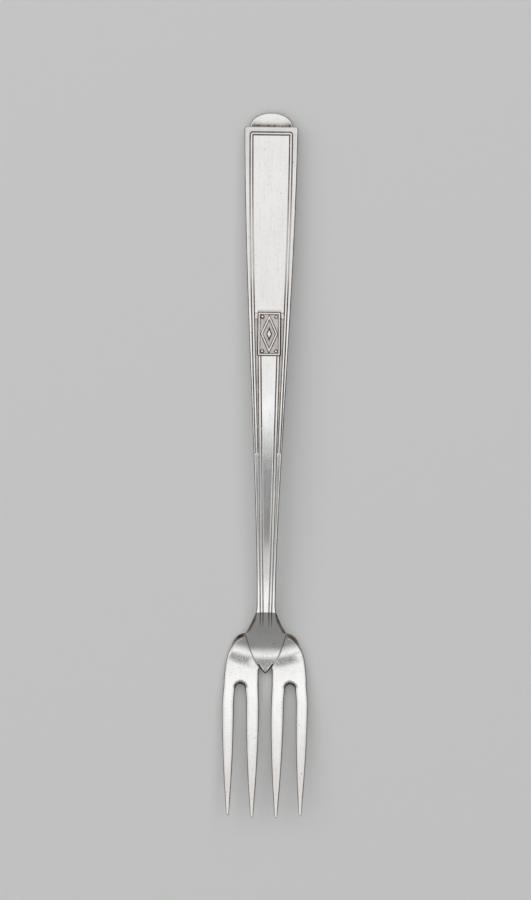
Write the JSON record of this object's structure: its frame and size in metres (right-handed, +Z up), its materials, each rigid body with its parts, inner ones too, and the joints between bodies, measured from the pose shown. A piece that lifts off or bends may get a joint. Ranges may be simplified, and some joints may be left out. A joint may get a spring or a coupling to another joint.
{
  "type": "fish fork",
  "caption": "Fish fork with slim tines, a flared neck let into the head with a pointed tongue, and a tapering hollow handle with beaded borders and a small framed plaque.",
  "frame": {"origin": "on the table under the middle of the fork's length and width, with the fork lying face up", "axes": "+X across the fork, +Y along it from the tines to the end of the handle, +Z up out of its face"},
  "size_m": [0.022, 0.18, 0.0086],
  "materials": {
    "silver": "worn polish, with tarnish in the recesses",
    "cement": "matt resin cement"
  },
  "bodies": {
    "root": {"left_tine_pair": "silver", "right_tine_pair": "silver", "neck_with_tang": "silver", "handle_front_shell": "silver", "handle_back_shell": "silver", "end_tab": "silver", "plaque": "silver", "handle_filling": "cement"}
  },
  "joints": []
}
